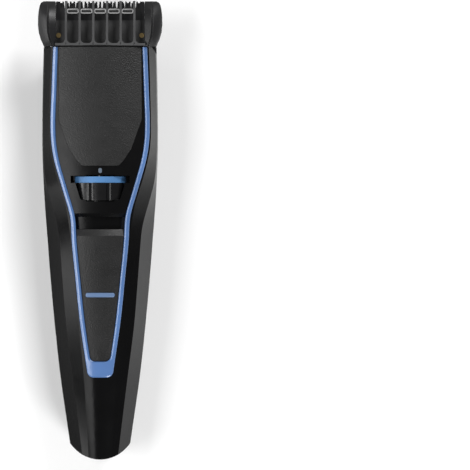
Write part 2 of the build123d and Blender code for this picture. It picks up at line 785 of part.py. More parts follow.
def cutter_holder():
    y0, y1 = deck_start + deck_thickness, body_length + holder_reach
    outer = side_profile(holder_profile(0), -holder_half, holder_half)
    long_edges = outer.edges().filter_by(Axis.Y).group_by(Axis.Z)[-1]
    outer = fillet(long_edges, 0.8)
    past_shells = block(-60, 60, body_length + fit_gap, 400, 0, 60)
    neck_half = arm_inner - slide_gap - 1.8 - free_gap
    neck = form(pocket_depth + pocket_floor + free_gap) & block(-neck_half, neck_half, 0, 400, 0, 60)
    outer = outer & (past_shells + neck)
    below_blades = yoke_top - fit_gap
    inner = side_profile(holder_profile(1.5), -blade_half + 0.4, blade_half - 0.4)
    inner = inner & block(-60, 60, y0 + 1.0, 400, 0, below_blades)
    slot_top = face_height - face_thickness
    blade_slot = block(
        -blade_half - fit_gap, blade_half + fit_gap, body_length + 1.8, y1 + 1, below_blades - 0.1, slot_top
    )
    opening = yoke_arm_half + blade_travel + free_gap
    gate = block(-opening, opening, y0 - 1, y0 + 2, yoke_top - 3.4, yoke_top + 0.4)
    bore_radius = blade_screw_radius + run_gap
    bores = both_sides(post(screw_x(), blade_screw_place, slot_top - 3, 60, bore_radius))
    return outer - inner - blade_slot - gate - bores


blade_screw_place = body_length + 4.2
blade_screw_radius = 0.55
moving_start = body_length + 5.2


def screw_x():
    return blade_half - 1.0


def toothed_blade(half, y0, tip, z0, pitch, depth):
    """A thin plate with a row of tapered teeth along its far edge."""
    plate = block(-half, half, y0, tip, z0, z0 + blade_thickness)
    count = floor((2 * half - pitch) / pitch)
    gap = pitch * 0.52
    for i in range(count):
        x = (i - (count - 1) / 2) * pitch
        notch = Polyline(
            [
                (x - gap * 0.3, tip - depth, 0), (x + gap * 0.3, tip - depth, 0),
                (x + gap * 0.62, tip + 0.5, 0), (x - gap * 0.62, tip + 0.5, 0),
            ],
            close=True,
        )
        plate = plate - extrude(Face(Wire(notch.edges())), amount=90, dir=(0, 0, 1))
    return plate


def fixed_blade():
    z0 = face_height - face_thickness - blade_thickness
    blade = toothed_blade(blade_half, body_length + 2.0, tip_place, z0, tooth_pitch, tooth_depth)
    return blade - both_sides(post(screw_x(), blade_screw_place, 0, 60, blade_screw_radius + run_gap))


def moving_blade():
    z0 = face_height - face_thickness - 2 * blade_thickness
    half = blade_half - blade_travel - 0.3
    return toothed_blade(half, moving_start, tip_place - 0.5, z0, tooth_pitch * 1.25, tooth_depth)


def cutter_screws():
    low = face_height - face_thickness - blade_thickness - 1.6
    screw = post(screw_x(), blade_screw_place, low, face_height + 0.1, blade_screw_radius)
    screw = screw + post(screw_x(), blade_screw_place, face_height, face_height + 0.3, 0.9)
    return screw + mirror(screw, about=Plane.YZ)


def drive_yoke():
    y0 = crank_start + 0.3
    arm_low = yoke_top - 2.4
    arm = block(-yoke_arm_half, yoke_arm_half, y0, moving_start + 2.0, arm_low, yoke_top - 0.35)
    seat = block(-5.0, 5.0, moving_start + 0.3, moving_start + 2.0, arm_low, yoke_top + 0.15)
    fork = block(-fork_half, fork_half, y0, y0 + fork_thickness, fork_low, yoke_top - 0.35)
    fork = fork - block(-slot_half, slot_half, y0 - 1, y0 + 3.4, fork_low - 1, motor_height + 2.4)
    return arm + fork + seat


def blade_spring():
    """Leaf that presses the moving blade against the fixed one."""
    y0 = deck_start + deck_thickness + 2.6
    top = yoke_top - 2.4 - 0.15
    points = [
        (y0, 11.9), (y0 + 0.4, 11.9), (y0 + 0.9, top - 2.6), (y0 + 5.0, top - 0.4), (y0 + 5.0, top),
        (y0 + 0.5, top - 2.2),
    ]
    return side_profile(points, -2.0, 2.0)


# ---------------------------------------------------------------- motor
def motor_can():
    shell = rod(0, motor_height, can_start, can_end, motor_radius)
    shell = shell - rod(0, motor_height, can_start - 1, can_end - 1.0, motor_radius - can_wall)
    boss = rod(0, motor_height, can_end - 1.0, can_end + 1.2, 2.6)
    return shell + boss - rod(0, motor_height, can_start, can_end + 5, shaft_radius + run_gap)


def motor_magnets():
    ring = rod(0, motor_height, can_start + 4, can_end - 3, motor_radius - can_wall)
    return ring - rod(0, motor_height, can_start, can_end, motor_radius - can_wall - magnet_thickness)


def rotor_core():
    core_radius = motor_radius - can_wall - magnet_thickness - 0.6
    core = rod(0, motor_height, can_start + 4.5, can_end - 3.5, core_radius)
    return core - rod(0, motor_height, can_start, can_end, shaft_radius)


def rotor_shaft():
    return rod(0, motor_height, bell_start - 0.6, shaft_end, shaft_radius)


def motor_end_bell():
    bell = rod(0, motor_height, bell_start, can_start, motor_radius - 0.4)
    bell = bell + rod(0, motor_height, can_start, can_start + 2.5, motor_radius - can_wall)
    bell = bell - rod(0, motor_height, can_start + 0.2, can_start + 3, motor_radius - can_wall - 1.5)
    return bell - rod(0, motor_height, bell_start - 3, can_start + 5, shaft_radius + run_gap)


def eccentric_cam():
    y0 = crank_start - cam_disc_length
    disc = rod(0, motor_height, y0 + 1.6, crank_start, cam_disc_radius)
    disc = disc - rod(0, motor_height, y0, shaft_end, shaft_radius)
    crank = rod(0, motor_height + blade_travel, crank_start, crank_start + crank_length, crank_radius)
    return disc + crank


# ---------------------------------------------------------------- battery and circuit
battery_height = wall + battery_diameter / 2 + 1.6


def battery_cell():
    cell = rod(0, battery_height, battery_start, battery_end, battery_diameter / 2)
    rims = cell.edges().filter_by(GeomType.CIRCLE)
    return fillet(rims, 0.8)


def battery_tabs():
    tabs = []
    for y in (battery_start - tab_thickness, battery_end):
        tabs.append(block(-tab_half, tab_half, y, y + tab_thickness, battery_height - 4, board_height))
    return Compound(children=tabs)


def circuit_board():
    y0, y1 = battery_start - 1.0, battery_end + 1.0
    z1 = board_height + board_thickness
    board = block(-board_half, board_half, y0, y1, board_height, z1)
    for x, y, dx, dy, dz in chips:
        mid_y = y0 + y if y > 0 else y1 + y
        board = board + block(x - dx / 2, x + dx / 2, mid_y - dy / 2, mid_y + dy / 2, z1 - 0.1, z1 + dz)
    return board


def slide_switch():
    z0 = board_height + board_thickness
    y0, y1 = nub_start, nub_start + nub_length + slider_travel
    half = nub_half + slide_gap + fit_gap
    case = block(-switch_half, switch_half, y0 - switch_wall, y1 + switch_wall, z0, nub_height)
    return case - block(-half, half, y0 - slide_gap, y1 + slide_gap, z0 + switch_floor, 60)


def switch_nub():
    z0 = board_height + board_thickness + switch_floor + slide_gap
    return block(-nub_half, nub_half, nub_start, nub_start + nub_length, z0, nub_top - slide_gap)


def charge_jack():
    y0 = jack_start()
    low, high = jack_height - jack_half, jack_height + jack_half
    case = block(-jack_half, jack_half, y0, y0 + jack_length, low, high)
    chamber_radius = jack_bore - 0.5
    case = case - rod(0, jack_height, y0 + jack_depth - 1, y0 + jack_chamber, chamber_radius)
    return case - rod(0, jack_height, y0 - 1, y0 + jack_depth, jack_bore)


def jack_start():
    """The jack's front face, clear of the curved tail wall."""
    radius = tail_radius * across
    return radius - sqrt((radius - wall) ** 2 - jack_half ** 2) + free_gap


def jack_contact_pin():
    y0 = jack_start()
    return rod(0, jack_height, y0 + jack_depth + free_gap, y0 + jack_chamber, pin_radius)


def motor_leads():
    """Two wires from under the circuit board, past the wheel, to the motor's end bell."""
    leads = []
    height = board_height - 0.6
    drop = height - motor_height
    bell_side = sqrt((motor_radius - 0.4) ** 2 - drop ** 2)
    for side in (1, -1):
        near, far = side * (board_half - 1.5), side * (wheel_radius + 3.0)
        points = [
            (near, battery_end - 1.6, height), (near, battery_end - 0.4, height),
            (far, battery_end + 2.8, height), (far, bell_start + bell_length / 2, height),
            (side * (bell_side + slide_gap), bell_start + bell_length / 2, height),
        ]
        path = FilletPolyline(*points, radius=1.0)
        leads.append(sweep(Plane(origin=path @ 0, z_dir=path % 0) * Circle(lead_radius), path=path))
    return Compound(children=leads)


makers = [
    front_shell, rear_shell, housing_screws, trim_frame, centre_cover, shield_plate, index_mark,
    power_slider, thumb_bar, zoom_wheel, number_ring, wheel_axle, wheel_detent_spring, comb_carriage,
    comb, head_frame, cutter_holder, fixed_blade, moving_blade, cutter_screws, drive_yoke, blade_spring,
    motor_can, motor_magnets, rotor_core, rotor_shaft, motor_end_bell, eccentric_cam, battery_cell,
    battery_tabs, circuit_board, slide_switch, switch_nub, charge_jack, jack_contact_pin, motor_leads,
]

if __name__ == "__main__":
    os.makedirs("parts", exist_ok=True)
    for make in makers:
        shape = make().moved(Pos(0, -overall_length / 2, 0))
        print(make.__name__, shape.is_valid, len(shape.solids()), round(shape.volume, 1), flush=True)
        export_step(shape, f"parts/{make.__name__}.step")
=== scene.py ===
"""A cordless beard trimmer on a pale studio floor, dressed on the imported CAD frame."""
from __future__ import annotations

import logging
import math
from dataclasses import dataclass
from enum import Enum

import bmesh
import bpy
from mathutils import Matrix, Vector

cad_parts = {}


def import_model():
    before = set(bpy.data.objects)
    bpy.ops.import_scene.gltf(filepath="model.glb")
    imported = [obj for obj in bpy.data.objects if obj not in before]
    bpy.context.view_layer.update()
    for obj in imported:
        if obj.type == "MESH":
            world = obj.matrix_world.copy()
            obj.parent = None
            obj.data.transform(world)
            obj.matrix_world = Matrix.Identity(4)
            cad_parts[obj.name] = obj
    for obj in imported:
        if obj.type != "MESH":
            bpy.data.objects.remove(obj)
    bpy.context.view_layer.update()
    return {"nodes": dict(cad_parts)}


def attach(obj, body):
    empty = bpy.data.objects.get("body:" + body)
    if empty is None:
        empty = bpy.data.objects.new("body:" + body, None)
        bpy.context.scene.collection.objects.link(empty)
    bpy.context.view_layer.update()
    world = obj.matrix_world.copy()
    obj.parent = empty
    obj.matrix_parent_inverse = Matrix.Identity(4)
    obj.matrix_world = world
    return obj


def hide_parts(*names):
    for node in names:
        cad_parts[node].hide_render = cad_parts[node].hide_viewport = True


LOG = logging.getLogger("trimmer")
MM = 0.001
WELD = 1e-7
CURVE_SEGMENTS = 4

Triple = tuple[float, float, float]
Table = tuple[tuple[float, ...], ...]


# ---------------------------------------------------------------- finishes
class Texture(Enum):
    """Fine surface pattern of a finish, with its scale along each axis."""

    PLAIN = (1.0, 1.0, 1.0)
    BRUSHED_X = (0.04, 1.0, 1.0)
    BRUSHED_Y = (1.0, 0.04, 1.0)


@dataclass(frozen=True)
class NodeBench:
    """The nodes of a material in the making.

    Attributes:
        tree: The material's node tree.
        shader: Its principled shader.
        mapping: The node that hands out the object's own coordinates.
        noise_range: The values between which most of a noise lies.
    """

    tree: bpy.types.NodeTree
    shader: bpy.types.Node
    mapping: bpy.types.Node
    noise_range: tuple[float, float] = (0.3, 0.7)

    def noise(self, scale: float, detail: float) -> bpy.types.NodeSocket:
        """Adds a noise texture that reads the object's own coordinates.

        Args:
            scale: Repeats per metre.
            detail: Number of finer layers.

        Returns:
            The noise's value.
        """
        noise = self.tree.nodes.new("ShaderNodeTexNoise")
        noise.inputs["Scale"].default_value = scale
        noise.inputs["Detail"].default_value = detail
        self.tree.links.new(self.mapping.outputs["Vector"], noise.inputs["Vector"])
        return noise.outputs["Fac"]

    def spread(self, source: bpy.types.NodeSocket, low: float, high: float) -> bpy.types.NodeSocket:
        """Maps a noise value onto a range.

        Args:
            source: The noise's value.
            low: Lower end of the range.
            high: Upper end of the range.

        Returns:
            The mapped value.
        """
        ramp = self.tree.nodes.new("ShaderNodeMapRange")
        ramp.inputs["From Min"].default_value = self.noise_range[0]
        ramp.inputs["From Max"].default_value = self.noise_range[1]
        ramp.inputs["To Min"].default_value = low
        ramp.inputs["To Max"].default_value = high
        self.tree.links.new(source, ramp.inputs["Value"])
        return ramp.outputs["Result"]


@dataclass(frozen=True)
class Finish:
    """One procedural finish.

    Attributes:
        name: Name of the material.
        color: Base colour, linear.
        roughness: Middle value of the roughness.
        roughness_spread: How far the roughness wanders from its middle value.
        metallic: 1 for bare metal.
        coat: Weight of a clear coat.
        coat_roughness: Roughness of the clear coat.
        texture: Fine surface pattern.
        scale: Size of the pattern, as repeats per metre.
        depth: Height of the pattern in metres.
        specular: Specular level.
        mottle: How much lighter and darker the colour wanders.
        least_roughness: The roughness never falls below this.
        color_noise: Scale and detail of the colour's wandering.
        handling_noise: Scale and detail of the roughness's wandering.
        bump_detail: Detail of the pattern.
        bump_strength: Strength of the pattern.
    """

    name: str
    color: Triple
    roughness: float = 0.4
    roughness_spread: float = 0.06
    metallic: float = 0.0
    coat: float = 0.0
    coat_roughness: float = 0.1
    texture: Texture = Texture.PLAIN
    scale: float = 900.0
    depth: float = 0.00004
    specular: float = 0.5
    mottle: float = 0.12
    least_roughness: float = 0.02
    color_noise: tuple[float, float] = (45.0, 3.0)
    handling_noise: tuple[float, float] = (160.0, 4.0)
    bump_detail: float = 2.0
    bump_strength: float = 0.6

    def build(self) -> bpy.types.Material:
        """Makes the node material.

        Returns:
            The finished material.
        """
        material = bpy.data.materials.new(self.name)
        material.use_nodes = True
        tree = material.node_tree
        shader = tree.nodes["Principled BSDF"]
        shader.inputs["Metallic"].default_value = self.metallic
        shader.inputs["Coat Weight"].default_value = self.coat
        shader.inputs["Coat Roughness"].default_value = self.coat_roughness
        shader.inputs["Specular IOR Level"].default_value = self.specular
        place = tree.nodes.new("ShaderNodeTexCoord")
        mapping = tree.nodes.new("ShaderNodeMapping")
        mapping.inputs["Scale"].default_value = self.texture.value
        tree.links.new(place.outputs["Object"], mapping.inputs["Vector"])
        bench = NodeBench(tree, shader, mapping)
        self._wander_color(bench)
        self._wander_roughness(bench)
        if self.depth > 0:
            self._bump(bench)
        return material

    def _wander_color(self, bench: NodeBench) -> None:
        """Lets the colour wander a little.

        Args:
            bench: The nodes to add to.
        """
        level = bench.spread(bench.noise(*self.color_noise), 1.0 - self.mottle, 1.0 + self.mottle)
        tint = bench.tree.nodes.new("ShaderNodeVectorMath")
        tint.operation = "SCALE"
        tint.inputs[0].default_value = self.color
        bench.tree.links.new(level, tint.inputs["Scale"])
        bench.tree.links.new(tint.outputs["Vector"], bench.shader.inputs["Base Color"])

    def _wander_roughness(self, bench: NodeBench) -> None:
        """Lets the roughness wander, as handling leaves it.

        Args:
            bench: The nodes to add to.
        """
        low = max(self.least_roughness, self.roughness - self.roughness_spread)
        high = self.roughness + self.roughness_spread
        level = bench.spread(bench.noise(*self.handling_noise), low, high)
        bench.tree.links.new(level, bench.shader.inputs["Roughness"])

    def _bump(self, bench: NodeBench) -> None:
        """Adds the fine pattern as a bump.

        Args:
            bench: The nodes to add to.
        """
        bump = bench.tree.nodes.new("ShaderNodeBump")
        bump.inputs["Distance"].default_value = self.depth
        bump.inputs["Strength"].default_value = self.bump_strength
        bench.tree.links.new(bench.noise(self.scale, self.bump_detail), bump.inputs["Height"])
        bench.tree.links.new(bump.outputs["Normal"], bench.shader.inputs["Normal"])


GLOSS_SHELL = Finish(
    "gloss black shell", (0.0034, 0.0034, 0.0036), 0.21, 0.03, depth=0.000006, scale=700, specular=0.14
)
SATIN_BACK = Finish("satin black back", (0.014, 0.014, 0.015), 0.42, 0.04, depth=0.00001, scale=1500)
SATIN_COVER = Finish(
    "satin black cover", (0.0026, 0.0026, 0.0028), 0.28, 0.03, depth=0.00001, scale=1500, specular=0.2
)
MATTE_SHIELD = Finish("matte shield", (0.0055, 0.0055, 0.0055), 0.46, 0.04, scale=2000, depth=0.00022)
MATTE_SLIDER = Finish("matte slider", (0.0035, 0.0035, 0.0036), 0.44, 0.04, scale=2000, depth=0.00022)
TRIM_BLUE = Finish(
    "blue trim", (0.08, 0.165, 0.37), 0.24, 0.03, coat=1.0, coat_roughness=0.14, depth=0.000004
)
BAR_BLUE = Finish("blue bar", (0.11, 0.18, 0.32), 0.34, 0.03, coat=0.3, depth=0.000004)
RING_BLUE = Finish("blue ring", (0.075, 0.2, 0.42), 0.5, 0.03, specular=0.3, depth=0.000004)
MARK_GREY = Finish("pale mark", (0.1, 0.13, 0.17), 0.45, 0.03, depth=0.0)
WHEEL_BLACK = Finish("wheel black", (0.005, 0.005, 0.0055), 0.26, 0.04, depth=0.00001)
# The comb is one black plastic. The cheeks get a darker copy of it and the ribs a lighter one: painted
# shade and painted light for how the light falls on each.
COMB_BLACK = Finish("comb black", (0.03, 0.03, 0.0305), 0.34, 0.04, depth=0.00001, scale=1200)
CHEEK_BLACK_PAINTED_DARKER = Finish(
    "comb cheek black painted darker", (0.014, 0.014, 0.0145), 0.36, 0.04, depth=0.00001, scale=1200, specular=0.3
)
RIB_BLACK_PAINTED_LIGHTER = Finish("comb rib black painted lighter", (0.055, 0.055, 0.056), 0.34, 0.04, depth=0.00001, scale=1200)
# Pale grey for the rims of the black bars between the comb's ribs: a painted highlight where the rounded
# rims catch the light.
COMB_RIM_PAINTED_HIGHLIGHT = Finish("comb rim painted highlight", (0.42, 0.42, 0.42), 0.2, 0.04, depth=0.000004)
HEAD_BLACK = Finish("head black", (0.065, 0.065, 0.066), 0.36, 0.04, depth=0.00001)
BLADE_STEEL = Finish(
    "dark coated blade steel", (0.085, 0.085, 0.088), 0.3, 0.06, 1.0, texture=Texture.BRUSHED_X, scale=2500,
    depth=0.00002,
)
SCREW_STEEL = Finish("plated screw steel", (0.5, 0.5, 0.5), 0.28, 0.06, 1.0, depth=0.00001)
SPRING_STEEL = Finish("spring steel", (0.4, 0.4, 0.42), 0.3, 0.06, 1.0, texture=Texture.BRUSHED_Y)
MOTOR_STEEL = Finish("drawn motor can", (0.5, 0.5, 0.52), 0.32, 0.07, 1.0, texture=Texture.BRUSHED_Y)
COPPER = Finish("wound copper", (0.62, 0.27, 0.12), 0.36, 0.07, 1.0, texture=Texture.BRUSHED_Y)
MAGNET = Finish("bonded ferrite", (0.05, 0.05, 0.052), 0.7, 0.06, scale=3000)
INNER_PLASTIC = Finish("inner plastic", (0.03, 0.03, 0.033), 0.5, 0.05)
ACETAL = Finish("natural acetal", (0.7, 0.69, 0.64), 0.42, 0.05, depth=0.00001)
CELL_WRAP = Finish("cell wrap", (0.03, 0.16, 0.1), 0.32, 0.05, depth=0.00001)
NICKEL = Finish("nickel strip", (0.6, 0.58, 0.54), 0.3, 0.05, 1.0, texture=Texture.BRUSHED_Y)
BOARD_GREEN = Finish("board solder mask", (0.01, 0.1, 0.04), 0.3, 0.05, coat=0.3, depth=0.00001)
JACK_BLACK = Finish("jack black", (0.01, 0.01, 0.01), 0.42, 0.05)
CONTACT_BRASS = Finish("plated contact", (0.75, 0.55, 0.25), 0.25, 0.05, 1.0)
WIRE_RED = Finish("wire insulation", (0.35, 0.02, 0.015), 0.4, 0.05, depth=0.0)


class FinishShelf:
    """Builds each finish once and hands it out."""

    def __init__(self) -> None:
        """Starts with an empty shelf."""
        self._made: dict[str, bpy.types.Material] = {}

    def take(self, finish: Finish) -> bpy.types.Material:
        """Hands out the material of a finish, which is built the first time.

        Args:
            finish: The finish.

        Returns:
            Its material.
        """
        if finish.name not in self._made:
            self._made[finish.name] = finish.build()
        return self._made[finish.name]

    def dress(self, obj: bpy.types.Object, finish: Finish) -> None:
        """Gives an object one finish."""
        obj.data.materials.clear()
        obj.data.materials.append(self.take(finish))


# ---------------------------------------------------------------- CAD sub-assemblies
@dataclass(frozen=True)
class SubAssembly:
    """CAD nodes that belong together and keep their meshes.

    Attributes:
        name: Name of the group.
        finishes: Each node's finish.
    """

    name: str
    finishes: dict[str, Finish]

    def dress(self, shelf: FinishShelf, nodes: dict[str, bpy.types.Object]) -> None:
        """Gives each of its nodes its finish.

        Args:
            shelf: The finishes.
            nodes: The frame's nodes by name.
        """
        for name, finish in self.finishes.items():
            shelf.dress(nodes[name], finish)
        LOG.info("%s: dressed %d nodes", self.name, len(self.finishes))


SUB_ASSEMBLIES = (
    SubAssembly("housing", {
        "front_shell": GLOSS_SHELL,
        "rear_shell": SATIN_BACK,
        "housing_screws": SCREW_STEEL,
        "trim_frame": TRIM_BLUE,
        "centre_cover": SATIN_COVER,
        "shield_plate": MATTE_SHIELD,
        "index_mark": MARK_GREY,
    }),
    SubAssembly("slider", {
        "power_slider": MATTE_SLIDER,
        "thumb_bar": BAR_BLUE,
    }),
    SubAssembly("length wheel", {
        "zoom_wheel": WHEEL_BLACK,
        "number_ring": RING_BLUE,
        "wheel_axle": SCREW_STEEL,
        "wheel_detent_spring": SPRING_STEEL,
    }),
    SubAssembly("comb and carriage", {
        "comb_carriage": INNER_PLASTIC,
        "comb": COMB_BLACK,
    }),
    SubAssembly("cutting head", {
        "head_frame": INNER_PLASTIC,
        "cutter_holder": HEAD_BLACK,
        "fixed_blade": BLADE_STEEL,
        "moving_blade": BLADE_STEEL,
        "cutter_screws": CONTACT_BRASS,
        "drive_yoke": ACETAL,
        "blade_spring": SPRING_STEEL,
    }),
    SubAssembly("motor", {
        "motor_can": MOTOR_STEEL,
        "motor_magnets": MAGNET,
        "rotor_core": COPPER,
        "rotor_shaft": SPRING_STEEL,
        "motor_end_bell": INNER_PLASTIC,
        "eccentric_cam": ACETAL,
    }),
    SubAssembly("power", {
        "battery_cell": CELL_WRAP,
        "battery_tabs": NICKEL,
        "circuit_board": BOARD_GREEN,
        "slide_switch": JACK_BLACK,
        "switch_nub": JACK_BLACK,
        "charge_jack": JACK_BLACK,
        "jack_contact_pin": CONTACT_BRASS,
        "motor_leads": WIRE_RED,
    }),
)


# ---------------------------------------------------------------- modelling helpers
def put_mesh(
    shape: bmesh.types.BMesh, name: str, body: str, material: bpy.types.Material
) -> bpy.types.Object:
    """Closes a shape's seams, makes it an object and ties it to a body.

    Args:
        shape: The finished shape, freed here.
        name: Name of the piece.
        body: The body that it moves with.
        material: Its finish.

    Returns:
        The object.
    """
    bmesh.ops.remove_doubles(shape, verts=shape.verts, dist=WELD)
    bmesh.ops.recalc_face_normals(shape, faces=shape.faces)
    mesh = bpy.data.meshes.new(name)
    shape.to_mesh(mesh)
    shape.free()
    mesh.materials.append(material)
    piece = bpy.data.objects.new(name, mesh)
    bpy.context.scene.collection.objects.link(piece)
    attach(piece, body)
    LOG.info("%s: %d faces on %s", name, len(mesh.polygons), body)
    return piece


def round_rims(piece: bpy.types.Object, width: float, segments: int = 2, angle: float = 35.0) -> None:
    """Rounds a piece's sharp edges and smooths its shading.

    Args:
        piece: The piece.
        width: Width of the rounding in metres.
        segments: Number of segments in it.
        angle: Edges sharper than this many degrees are rounded.
    """
    rounding = piece.modifiers.new("rims", "BEVEL")
    rounding.width = width
    rounding.segments = segments
    rounding.limit_method = "ANGLE"
    rounding.angle_limit = math.radians(angle)
    rounding.harden_normals = True
    for face in piece.data.polygons:
        face.use_smooth = True


def add_box(shape: bmesh.types.BMesh, low: Triple, high: Triple) -> list[bmesh.types.BMVert]:
    """Adds a box between two corners.

    Args:
        shape: The shape to add it to.
        low: Its lowest corner in millimetres.
        high: Its highest corner in millimetres.

    Returns:
        The box's vertices.
    """
    size = [(b - a) * MM for a, b in zip(low, high)]
    middle = [(a + b) / 2 * MM for a, b in zip(low, high)]
    matrix = Matrix.Translation(middle) @ Matrix.Diagonal((*size, 1.0))
    return bmesh.ops.create_cube(shape, size=1.0, matrix=matrix)["verts"]


def cut_across(shape: bmesh.types.BMesh, places: list[float], normal: Vector) -> None:
    """Cuts a shape by planes across one axis and keeps both sides.

    Args:
        shape: The shape.
        places: Where the planes stand on the axis, in millimetres.
        normal: The axis.
    """
    for place in places:
        geometry = [*shape.verts, *shape.edges, *shape.faces]
        bmesh.ops.bisect_plane(shape, geom=geometry, plane_co=normal * place * MM, plane_no=normal)


def read_table(table: Table, place: float, column: int) -> float:
    """Reads a table at a place, on a straight line between its rows.

    Args:
        table: Rows in order of their first column, which holds the place.
        place: Where to read it. Outside the table the nearest row counts.
        column: The column to read.

    Returns:
        The value.
    """
    if place <= table[0][0]:
        return table[0][column]
    for low, high in zip(table, table[1:]):
        if low[0] <= place <= high[0]:
            share = (place - low[0]) / (high[0] - low[0])
            return low[column] + (high[column] - low[column]) * share
    return table[-1][column]


# ---------------------------------------------------------------- comb
@dataclass(frozen=True)
class CheekProfile:
    """Heights and edges of a cheek's cross-section. Sizes in millimetres.

    Attributes:
        sink: How far the cheek's crest lies under the ribs' crest.
        flat_height: Height of the crest at which the facets would vanish.
        full_rise: Rise above it at which they have their full height.
        least: Smallest share of their height.
        outer_drop: Full drop from the crest to the outer side.
        edge_drop: Full drop to the outer edge.
        groove_drop: Full drop to the groove.
        inner_drop: Full drop to the inner edge.
        lip_drop: Drop to the lip inside the groove.
        foot: Width of the chamfer under the outer side.
        inner_floor: Lowest height of the inner side.
        skirt_floor: Height from which the skirt hangs.
        skirt_gap: How far the skirt reaches inside the arm.
        end_floor: Lowest height at the cheek's far end.
        end_step: Step that keeps the corners of the far end apart.
        level: Length over which the lower edge is level.
        end_length: Length at the tip over which it rises steeply.
        rise: Its rise between the two.
        end_slope: Its rise past them, for each length between them.
    """

    sink: float = 0.1
    flat_height: float = 24.0
    full_rise: float = 5.0
    least: float = 0.1
    outer_drop: float = 2.9
    edge_drop: float = 1.5
    groove_drop: float = 0.5
    inner_drop: float = 1.3
    lip_drop: float = 0.1
    foot: float = 0.6
    inner_floor: float = 23.5
    skirt_floor: float = 23.3
    skirt_gap: float = 0.3
    end_floor: float = 23.1
    end_step: float = 0.01
    level: float = 6.0
    end_length: float = 1.6
    rise: float = 7.8
    end_slope: float = 25.0


